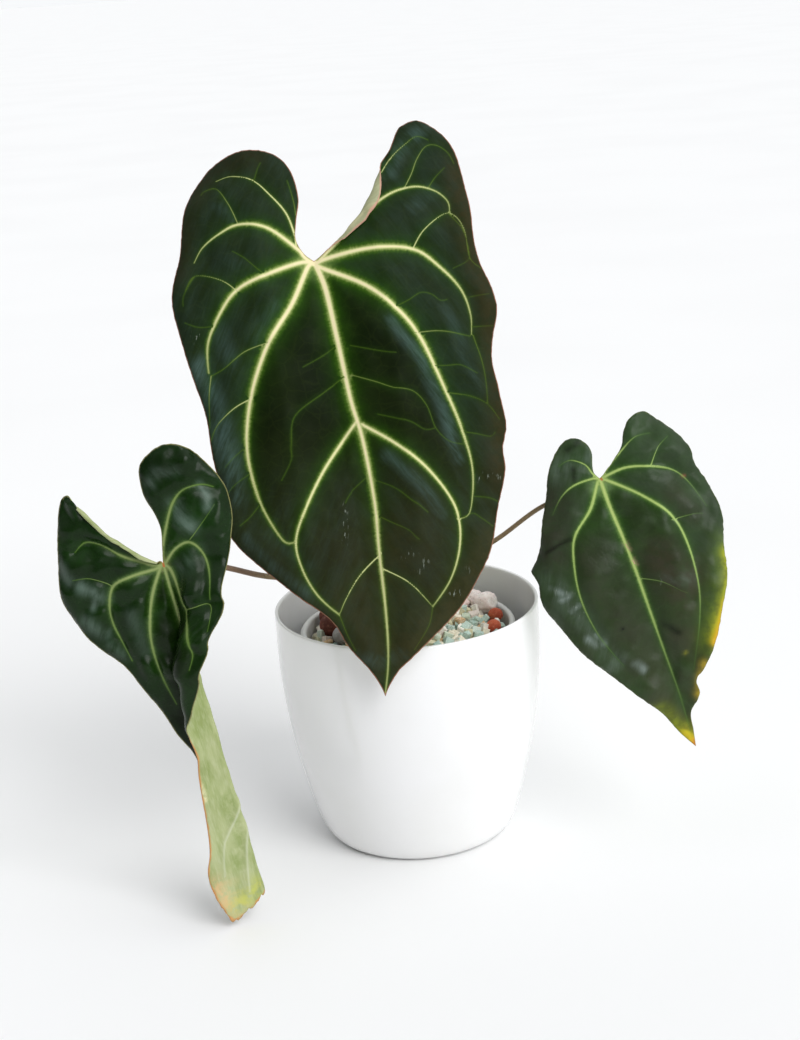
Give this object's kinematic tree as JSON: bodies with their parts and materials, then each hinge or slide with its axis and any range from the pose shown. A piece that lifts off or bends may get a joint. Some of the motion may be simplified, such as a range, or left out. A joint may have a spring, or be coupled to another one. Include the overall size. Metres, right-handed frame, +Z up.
{
  "type": "potted anthurium besseae",
  "caption": "Aroid house plant with heart-shaped dark velvety leaves and pale veins, rooted in mineral mix in a liner pot inside a plain white cover pot.",
  "frame": {"origin": "centre of the cover pot's flat underside", "axes": "+Z up along the pots' axis and the part's longest extent, -Y towards the side that the leaves face"},
  "size_m": [0.3735, 0.2043, 0.4283],
  "materials": {
    "outer_pot": "glossy white, faint moulding sheen",
    "inner_pot": "pale grey, slightly translucent",
    "substrate": "mixed mineral chips, dry and rough",
    "clay_ball": "fired clay, matt, fine pores",
    "pebble": "smooth grey stone",
    "pumice": "white to pinkish, porous",
    "crown": "brown-green stem with dry sheaths",
    "petiole": "smooth brown stalk, satin",
    "leaf_velvet": "velvety dark green with cream veins and a bluish sheen",
    "leaf_glossy": "glossy dark green with pale veins, pale green underside",
    "leaf_dull": "dull dark green, yellowing along the lower margin"
  },
  "bodies": {
    "root": {"outer_pot": "outer_pot", "inner_pot": "inner_pot", "substrate": "substrate", "clay_ball_1": "clay_ball", "clay_ball_2": "clay_ball", "clay_ball_3": "clay_ball", "clay_ball_4": "clay_ball", "pebble": "pebble", "pumice_lump_1": "pumice", "pumice_lump_2": "pumice", "pumice_lump_3": "pumice", "crown": "crown", "petiole_center": "petiole", "petiole_left": "petiole", "petiole_right": "petiole", "leaf_center": "leaf_velvet", "leaf_left": "leaf_glossy", "leaf_right": "leaf_dull"}
  },
  "joints": []
}
